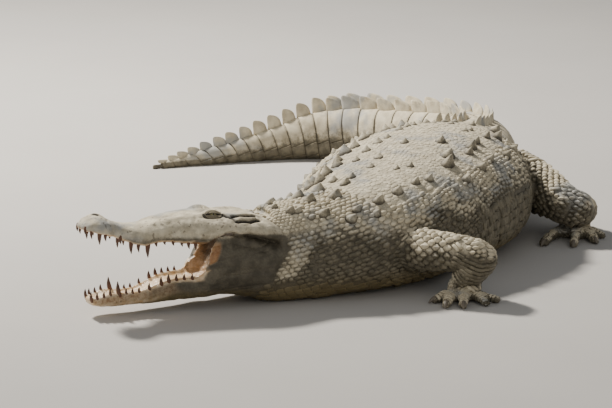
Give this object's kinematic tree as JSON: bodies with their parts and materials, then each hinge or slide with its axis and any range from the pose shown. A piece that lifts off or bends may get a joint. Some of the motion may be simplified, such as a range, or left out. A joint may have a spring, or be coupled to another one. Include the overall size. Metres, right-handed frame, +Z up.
{
  "type": "american crocodile",
  "caption": "Basking crocodile lying on its belly, jaws open, body curled and tail swept round, as a still life-size museum model.",
  "frame": {"origin": "on the floor, on the flat underside of the belly, below the middle of the trunk", "axes": "+Z up, the head points to -X (and a little to -Y), the trunk runs away from the head along +Y, the tail sweeps back towards -X"},
  "size_m": [1.5288, 2.1619, 0.3453],
  "materials": {
    "hide": "dry, matte, dusted with pale dried mud",
    "eyes": "glossy",
    "claws": "dark horn, satin"
  },
  "bodies": {
    "root": {"eye_left": "eyes", "eye_right": "eyes", "forefoot_left": "hide", "forefoot_left_claw_1": "claws", "forefoot_left_claw_2": "claws", "forefoot_left_claw_3": "claws", "forefoot_right": "hide", "forefoot_right_claw_1": "claws", "forefoot_right_claw_2": "claws", "forefoot_right_claw_3": "claws", "foreleg_left_lower": "hide", "foreleg_left_upper": "hide", "foreleg_right_lower": "hide", "foreleg_right_upper": "hide", "head": "hide", "hindfoot_left": "hide", "hindfoot_left_claw_1": "claws", "hindfoot_left_claw_2": "claws", "hindfoot_left_claw_3": "claws", "hindfoot_right": "hide", "hindfoot_right_claw_1": "claws", "hindfoot_right_claw_2": "claws", "hindfoot_right_claw_3": "claws", "hindleg_left_shank": "hide", "hindleg_left_thigh": "hide", "hindleg_right_shank": "hide", "hindleg_right_thigh": "hide", "lower_jaw": "hide", "neck": "hide", "tail_1": "hide", "tail_2": "hide", "tail_3": "hide", "tail_4": "hide", "tail_5": "hide", "trunk": "hide"}
  },
  "joints": []
}
